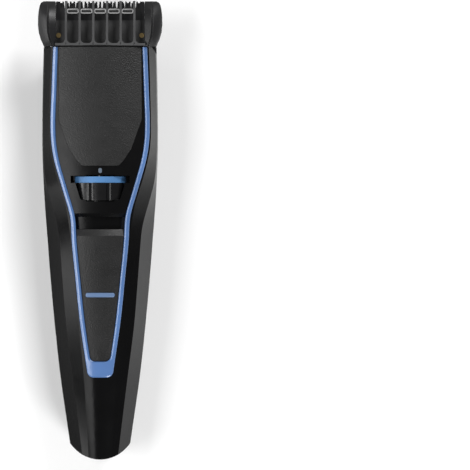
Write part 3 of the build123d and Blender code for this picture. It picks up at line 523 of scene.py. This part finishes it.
@dataclass(frozen=True)
class Comb:
    """The guide comb: ribs in a frame, between two cheeks with an arm each. Sizes in millimetres.

    Attributes:
        shelf: The finishes.
        start: The comb's edge at the handle.
        tip: The comb's far end.
        under: Height of its underside over the cutter holder.
        rail_depth: Depth of the cross piece that the ribs grow from.
        frame_half: Half the length of the cross piece.
        rib_count: Number of ribs.
        rib_pitch: Distance between ribs.
        rib_width: Thickness of a rib.
        slot_round: Radius at the bottom corners of the slots.
        bar_place: Near edge of the bars between the ribs.
        bar_depth: Depth of a bar.
        bar_bite: How far a bar's end reaches into a rib.
        bar_low: Height of a bar's bottom above the underside.
        bar_high: Height of its top above the underside.
        bar_round: Radius of its upright corners.
        bar_rim: Width of the rim round its sunk middle, which carries a painted highlight.
        bar_sink: Depth of that middle.
        arm_inner: Distance from the middle to an arm's inner side.
        arm_outer: Distance from the middle to its outer side.
        arm_start: An arm's end in the handle.
        arm_lap: How far it reaches into the cheek.
        arm_low: Height of its lower edge.
        arm_high: Height of its upper edge.
        channel_rim: Width of the rim round the channel outside it.
        channel_depth: Depth of that channel.
        rib_soft: Rounding of the ribs' rims.
        cheek_soft: Rounding of the cheeks' rims.
        arm_soft: Rounding of the arms' rims.
        bar_soft: Rounding of the bars' rims.
        bar_soft_segments: Number of segments in the bars' rounding.
        profile: Heights and edges of the cheeks' cross-sections.
        crest: Rows of a place, the height of the ribs' crest and that of their underside.
        cheek: Rows of a place and six distances from the middle: outer side, outer edge, crest,
            groove, lip and inner edge.
    """

    shelf: FinishShelf
    start: float = 68.35
    tip: float = 85.0
    under: float = 24.6
    rail_depth: float = 0.85
    frame_half: float = 16.7
    rib_count: int = 6
    rib_pitch: float = 5.064
    rib_width: float = 0.8
    slot_round: float = 1.5
    bar_place: float = 80.2
    bar_depth: float = 1.8
    bar_bite: float = 0.12
    bar_low: float = 0.5
    bar_high: float = 2.3
    bar_round: float = 0.85
    bar_rim: float = 0.42
    bar_sink: float = 0.9
    arm_inner: float = 18.9
    arm_outer: float = 20.7
    arm_start: float = 42.1
    arm_lap: float = 1.0
    arm_low: float = 11.4
    arm_high: float = 15.3
    channel_rim: float = 1.0
    channel_depth: float = 0.35
    rib_soft: float = 0.16
    cheek_soft: float = 0.22
    arm_soft: float = 0.25
    bar_soft: float = 0.18
    bar_soft_segments: int = 3
    profile: CheekProfile = CheekProfile()
    crest: Table = (
        (68.35, 27.6, 24.6), (69.6, 28.3, 24.6), (72.0, 29.0, 24.6), (75.0, 29.2, 24.6),
        (78.2, 28.75, 24.6), (80.6, 27.6, 23.6), (82.6, 26.1, 23.4), (84.0, 24.9, 23.4),
        (85.0, 23.9, 23.4),
    )
    cheek: Table = (
        (68.1, 20.85, 20.4, 18.0, 17.7, 17.4, 16.5),
        (69.4, 21.35, 20.8, 18.5, 18.15, 17.85, 16.5),
        (71.0, 22.1, 21.4, 19.1, 18.7, 18.35, 16.45),
        (73.2, 22.75, 21.9, 19.55, 19.1, 18.75, 16.4),
        (76.0, 23.05, 22.1, 19.75, 19.25, 18.9, 16.4),
        (79.0, 23.0, 22.05, 19.75, 19.25, 18.9, 16.4),
        (81.5, 22.75, 21.85, 19.7, 19.2, 18.9, 16.4),
        (83.2, 22.4, 21.6, 19.6, 19.2, 18.9, 16.4),
        (84.3, 21.9, 21.2, 19.5, 19.15, 18.9, 16.45),
        (84.85, 20.9, 20.6, 19.4, 19.15, 18.9, 16.6),
    )

    def build(self) -> None:
        """Makes the comb's pieces, which together stand for the CAD comb."""
        ribs = self._ribs()
        pieces = [ribs, *(self._cheek(side) for side in (-1, 1)), self._arms(), self._bars()]
        for piece in pieces:
            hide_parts("comb")
        LOG.info("comb: %d pieces", len(pieces))

    def _put(
        self, shape: bmesh.types.BMesh, name: str, finish: Finish, soft: float, segments: int = 2
    ) -> bpy.types.Object:
        """Makes a comb piece with rounded rims.

        Args:
            shape: The finished shape, freed here.
            name: Name of the piece.
            finish: Its finish.
            soft: Width of the rounding.
            segments: Number of segments in the rounding.

        Returns:
            The object.
        """
        piece = put_mesh(shape, name, "comb", self.shelf.take(finish))
        round_rims(piece, soft * MM, segments)
        return piece

    def _rib_places(self) -> list[float]:
        """Middle of each rib across the comb."""
        return [(i - (self.rib_count - 1) / 2) * self.rib_pitch for i in range(self.rib_count)]

    def _ribs(self) -> bpy.types.Object:
        """Makes the cross piece and the ribs, drawn in plan, then raised to the crest.

        Returns:
            The object.
        """
        shape = bmesh.new()
        half, near, far = self.frame_half * MM, self.start * MM, (self.start + self.rail_depth) * MM
        place = Matrix.Translation((0, (near + far) / 2, self.under * MM))
        place = place @ Matrix.Diagonal((half, (far - near) / 2, 1, 1))
        bmesh.ops.create_grid(shape, x_segments=1, y_segments=1, size=1.0, matrix=place)
        edges = [x + side * self.rib_width / 2 for x in self._rib_places() for side in (-1, 1)]
        cut_across(shape, edges, Vector((1, 0, 0)))
        feet = [
            e for e in shape.edges
            if all(abs(v.co.y - far) < WELD for v in e.verts) and self._over_rib(e.verts)
        ]
        corners = list(dict.fromkeys(v for e in feet for v in e.verts))
        grown = bmesh.ops.extrude_edge_only(shape, edges=feet)["geom"]
        tips = [v for v in grown if isinstance(v, bmesh.types.BMVert)]
        bmesh.ops.translate(shape, verts=tips, vec=(0, self.tip * MM - far, 0))
        bmesh.ops.bevel(
            shape, geom=corners, offset=self.slot_round * MM, segments=CURVE_SEGMENTS,
            profile=0.5, affect="VERTICES", material=-1,
        )
        cut_across(shape, [row[0] for row in self.crest[1:-1]], Vector((0, 1, 0)))
        top = bmesh.ops.extrude_face_region(shape, geom=list(shape.faces))["geom"]
        raised = {v for v in top if isinstance(v, bmesh.types.BMVert)}
        for vert in shape.verts:
            vert.co.z = read_table(self.crest, vert.co.y / MM, 1 if vert in raised else 2) * MM
        # The ribs take the lighter copy of the comb black, which is painted light.
        return self._put(shape, "comb_ribs", RIB_BLACK_PAINTED_LIGHTER, self.rib_soft)

    def _over_rib(self, verts: list[bmesh.types.BMVert]) -> bool:
        """Says whether an edge lies at the foot of a rib."""
        middle = sum(v.co.x for v in verts) / len(verts) / MM
        return any(abs(middle - x) < self.rib_width / 2 for x in self._rib_places())

    def _cheek(self, side: int) -> bpy.types.Object:
        """Makes a cheek: cross-sections with two outer facets, a groove and an inner facet, bridged.

        Args:
            side: 1 for the right cheek, -1 for the left one.

        Returns:
            The object.
        """
        shape = bmesh.new()
        rings = []
        for row in self.cheek:
            verts = [shape.verts.new((side * x * MM, row[0] * MM, z * MM)) for x, z in self._outline(row)]
            rings.append([shape.edges.new((verts[i - 1], verts[i])) for i in range(len(verts))])
        for near, far in zip(rings, rings[1:]):
            bmesh.ops.bridge_loops(shape, edges=near + far)
        bmesh.ops.contextual_create(shape, geom=rings[0])
        bmesh.ops.contextual_create(shape, geom=rings[-1])
        name = "comb_cheek_right" if side > 0 else "comb_cheek_left"
        # The cheeks take the darker copy of the comb black, which is painted shade.
        return self._put(shape, name, CHEEK_BLACK_PAINTED_DARKER, self.cheek_soft)

    def _outline(self, row: tuple[float, ...]) -> list[tuple[float, float]]:
        """Draws a cheek's cross-section.

        Args:
            row: A row of the cheek's table.

        Returns:
            The corners' distances from the middle and heights.
        """
        y, outer, edge, crest, groove, lip, inner = row
        form = self.profile
        top = read_table(self.crest, y, 1) - form.sink
        low = self._cheek_low(y)
        drop = min(1.0, max(form.least, (top - form.flat_height) / form.full_rise))
        skirt = self.arm_inner - form.skirt_gap
        outline = [
            (outer, low + form.foot),
            (outer, top - form.outer_drop * drop),
            (edge, top - form.edge_drop * drop),
            (crest, top),
            (groove, top - form.groove_drop * drop),
            (lip, top - form.lip_drop),
            (inner, top - form.inner_drop * drop),
            (inner, max(low, form.inner_floor)),
            (skirt, max(low, form.skirt_floor)),
            (skirt, low),
            (outer - form.foot, low),
        ]
        if row is self.cheek[-1]:
            outline = [(min(x, outer), max(z, form.end_floor)) for x, z in outline]
            outline = [(x + form.end_step * i, z + form.end_step * i) for i, (x, z) in enumerate(outline)]
        return outline

    def _cheek_low(self, place: float) -> float:
        """Reads the height of the cheek's lower edge, which rises towards the tip.

        Args:
            place: Where to read it.

        Returns:
            The height.
        """
        form = self.profile
        if place < self.start + form.level:
            return self.arm_low
        length = self.tip - form.end_length - self.start - form.level
        rise = (place - self.start - form.level) / length
        return self.arm_low + min(rise, 1.0) * form.rise + max(0.0, rise - 1.0) * form.end_slope

    def _arms(self) -> bpy.types.Object:
        """Makes the arms that slide in the handle's grooves, each with a shallow channel outside.

        Returns:
            The object.
        """
        shape = bmesh.new()
        for side in (-1, 1):
            inner, outer = sorted((side * self.arm_inner, side * self.arm_outer))
            low = (inner, self.arm_start, self.arm_low)
            high = (outer, self.start + self.arm_lap, self.arm_high)
            faces = dict.fromkeys(f for v in add_box(shape, low, high) for f in v.link_faces)
            face = next(f for f in faces if f.normal.x * side > 0.5)
            bmesh.ops.inset_region(
                shape, faces=[face], thickness=self.channel_rim * MM, use_even_offset=True
            )
            bmesh.ops.translate(shape, verts=face.verts, vec=(-side * self.channel_depth * MM, 0, 0))
        return self._put(shape, "comb_arms", COMB_BLACK, self.arm_soft)

    def _bars(self) -> bpy.types.Object:
        """Makes the rounded bars between the ribs, each with a sunk middle; their rims are painted pale
        grey as a painted highlight.

        Returns:
            The object.
        """
        shape = bmesh.new()
        places = self._rib_places()
        gap = self.rib_width / 2 - self.bar_bite
        for left, right in zip(places, places[1:]):
            low = (left + gap, self.bar_place, self.under + self.bar_low)
            high = (right - gap, self.bar_place + self.bar_depth, self.under + self.bar_high)
            edges = dict.fromkeys(e for v in add_box(shape, low, high) for e in v.link_edges)
            uprights = [e for e in edges if abs(e.verts[0].co.z - e.verts[1].co.z) > WELD]
            bmesh.ops.bevel(
                shape, geom=uprights, offset=self.bar_round * MM, segments=CURVE_SEGMENTS,
                profile=0.5, affect="EDGES", material=-1,
            )
            top = max(
                (f for f in shape.faces if left * MM < f.calc_center_median().x < right * MM),
                key=lambda f: f.calc_center_median().z,
            )
            bmesh.ops.inset_region(
                shape, faces=[top], thickness=self.bar_rim * MM, use_even_offset=True
            )
            bmesh.ops.translate(shape, verts=top.verts, vec=(0, 0, -self.bar_sink * MM))
            top.material_index = 1
        # The bars take the pale grey, a painted highlight on their rims; their sunk middles stay comb
        # black.
        bars = self._put(shape, "comb_bars", COMB_RIM_PAINTED_HIGHLIGHT, self.bar_soft, self.bar_soft_segments)
        bars.data.materials.append(self.shelf.take(COMB_BLACK))
        return bars


# ---------------------------------------------------------------- studio
@dataclass(frozen=True)
class SoftLight:
    """A soft rectangular light.

    Attributes:
        name: Name of the light.
        place: Where it hangs.
        size: Its width and height.
        power: Its power in watts.
        target: The point that it faces.
    """

    name: str
    place: Triple
    size: tuple[float, float]
    power: float
    target: Triple = (0.0, 0.0, 0.02)

    def hang(self) -> None:
        """Adds the light and turns it to its target."""
        data = bpy.data.lights.new(self.name, "AREA")
        data.shape = "RECTANGLE"
        data.size, data.size_y = self.size
        data.energy = self.power
        light = bpy.data.objects.new(self.name, data)
        light.location = self.place
        light.rotation_mode = "QUATERNION"
        back = (Vector(self.place) - Vector(self.target)).normalized()
        along = Vector((0, 1, 0)) if abs(back.y) < 0.7 else Vector((1, 0, 0))
        side = back.cross(along).normalized()
        turn = Matrix((side.cross(back), side, back)).transposed()
        light.rotation_quaternion = turn.to_quaternion()
        light.visible_camera = False
        bpy.context.scene.collection.objects.link(light)


@dataclass(frozen=True)
class Sheet:
    """A flat grey sheet of the staging.

    Attributes:
        name: Name of the sheet.
        middle: Its middle.
        half: Half its width and half its length.
        grey: Its colour.
        roughness: Its roughness.
    """

    name: str
    middle: Triple
    half: tuple[float, float]
    grey: float
    roughness: float

    def lay(self) -> bpy.types.Object:
        """Makes the sheet.

        Returns:
            The object.
        """
        mesh = bpy.data.meshes.new(self.name)
        shape = bmesh.new()
        matrix = Matrix.Translation(self.middle) @ Matrix.Diagonal((*self.half, 1, 1))
        bmesh.ops.create_grid(shape, x_segments=1, y_segments=1, size=1.0, matrix=matrix)
        shape.to_mesh(mesh)
        shape.free()
        sheet = bpy.data.objects.new(self.name, mesh)
        bpy.context.scene.collection.objects.link(sheet)
        material = bpy.data.materials.new(f"{self.name} grey")
        material.use_nodes = True
        shader = material.node_tree.nodes["Principled BSDF"]
        shader.inputs["Base Color"].default_value = (self.grey, self.grey, self.grey, 1)
        shader.inputs["Roughness"].default_value = self.roughness
        mesh.materials.append(material)
        return sheet


@dataclass(frozen=True)
class Studio:
    """Camera, pale floor and soft lights.

    Attributes:
        frame_width: Width of the view at the object, in metres.
        aim: The point on the floor plane that the camera looks along.
        focus_height: Height at which frame_width holds.
        lens: Focal length in millimetres.
        sensor: Sensor width in millimetres.
        clip: Nearest and farthest distance that the camera sees.
        room_light: Strength of the even light of the room.
        floor: The floor.
        dark_reflection_card: A dark card beside the object that only reflections see and that casts no
            shadow: a painted dark reflection in the object's left facets.
        lights: The lights.
    """

    frame_width: float = 0.1743
    aim: tuple[float, float] = (0.05, -0.0018)
    focus_height: float = 0.024
    lens: float = 400.0
    sensor: float = 36.0
    clip: tuple[float, float] = (0.05, 30.0)
    room_light: float = 0.12
    floor: Sheet = Sheet("floor", (0.0, 0.0, 0.0), (3.0, 3.0), 0.96, 0.9)
    # A dark card seen only in reflections: a painted dark reflection in the left facets.
    dark_reflection_card: Sheet = Sheet("dark_reflection_card", (-0.043, -0.01, 0.0005), (0.02, 0.09), 0.17, 1.0)
    lights: tuple[SoftLight, ...] = (
        SoftLight("head right", (0.7, 1.15, 0.95), (0.6, 0.6), 17.0),
        SoftLight("tail right", (0.7, -1.15, 0.95), (0.6, 0.6), 17.0),
        SoftLight("low left", (-0.9, 0.0, 0.36), (1.2, 0.3), 6.0),
        SoftLight("high left", (-0.65, 0.0, 1.0), (0.9, 0.4), 6.0),
    )

    def build(self) -> None:
        """Makes the camera, the floor, the card, the world and the lights."""
        self._camera()
        self.floor.lay()
        # The dark card shows only in reflections, as a painted dark reflection in the left facets. The
        # camera does not see it, and it casts no shadow.
        card = self.dark_reflection_card.lay()
        card.visible_camera = card.visible_diffuse = card.visible_shadow = False
        self._world()
        for light in self.lights:
            light.hang()
        LOG.info("studio: %d lights", len(self.lights))

    def _camera(self) -> None:
        """Puts a long-lens camera straight above the object and aims it beside it."""
        data = bpy.data.cameras.new("camera")
        data.lens, data.sensor_width = self.lens, self.sensor
        data.clip_start, data.clip_end = self.clip
        camera = bpy.data.objects.new("camera", data)
        distance = self.frame_width * self.lens / self.sensor
        eye = Vector((0.0, self.aim[1], self.focus_height + distance))
        target = Vector((self.aim[0], self.aim[1], self.focus_height))
        camera.location = eye
        camera.rotation_mode = "QUATERNION"
        back = (eye - target).normalized()
        up = Vector((0, 1, 0))
        right = up.cross(back).normalized()
        up = back.cross(right)
        camera.rotation_quaternion = Matrix((right, up, back)).transposed().to_quaternion()
        bpy.context.scene.collection.objects.link(camera)
        bpy.context.scene.camera = camera

    def _world(self) -> None:
        """Fills the room with even pale light."""
        world = bpy.data.worlds.new("room")
        world.use_nodes = True
        back = world.node_tree.nodes["Background"]
        back.inputs["Color"].default_value = (1, 1, 1, 1)
        back.inputs["Strength"].default_value = self.room_light
        bpy.context.scene.world = world
        bpy.context.scene.view_settings.view_transform = "Standard"


def dress_frame(shelf: FinishShelf, nodes: dict[str, bpy.types.Object]) -> None:
    """Dresses every CAD node, sub-assembly by sub-assembly.

    Args:
        shelf: The finishes.
        nodes: The frame's nodes by name.

    Raises:
        KeyError: If a node has no finish.
    """
    for group in SUB_ASSEMBLIES:
        group.dress(shelf, nodes)
    bare = set(nodes).difference(*(group.finishes for group in SUB_ASSEMBLIES))
    if bare:
        raise KeyError(f"nodes without a finish: {sorted(bare)}")


def main() -> None:
    """Builds the studio and the trimmer in order."""
    logging.basicConfig(level=logging.INFO, format="%(name)s: %(message)s")
    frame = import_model()
    Studio().build()
    shelf = FinishShelf()
    dress_frame(shelf, frame["nodes"])
    Comb(shelf).build()


if __name__ == "__main__":
    main()
